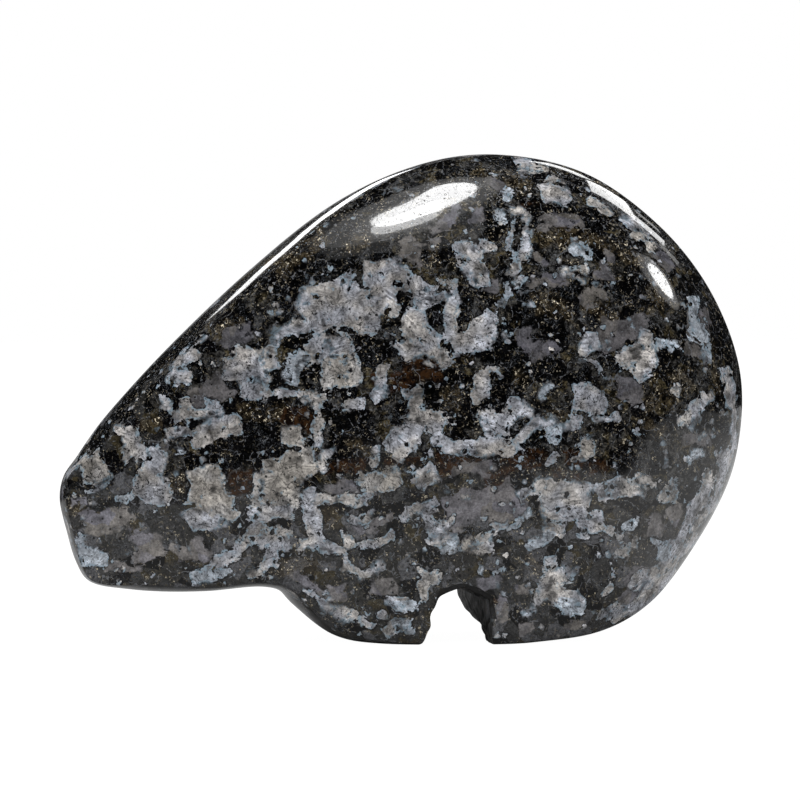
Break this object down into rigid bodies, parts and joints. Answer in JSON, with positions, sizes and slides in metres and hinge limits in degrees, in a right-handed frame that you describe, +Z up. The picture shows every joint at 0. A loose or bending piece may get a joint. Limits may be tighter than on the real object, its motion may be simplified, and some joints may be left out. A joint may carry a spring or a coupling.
{
  "type": "stone bear carving",
  "caption": "Small polished stone bear with a high hump, a wedge-shaped head held low and a notch between front and hind feet; stands on its feet.",
  "frame": {"origin": "middle of the bounding box, at the level of the surface it stands on", "axes": "+X from the snout towards the rump, +Y across the body towards the far flank, +Z up"},
  "size_m": [0.0764, 0.027, 0.0538],
  "materials": {
    "speckled_stone": "polished"
  },
  "bodies": {
    "root": {"bear": "speckled_stone"}
  },
  "joints": []
}
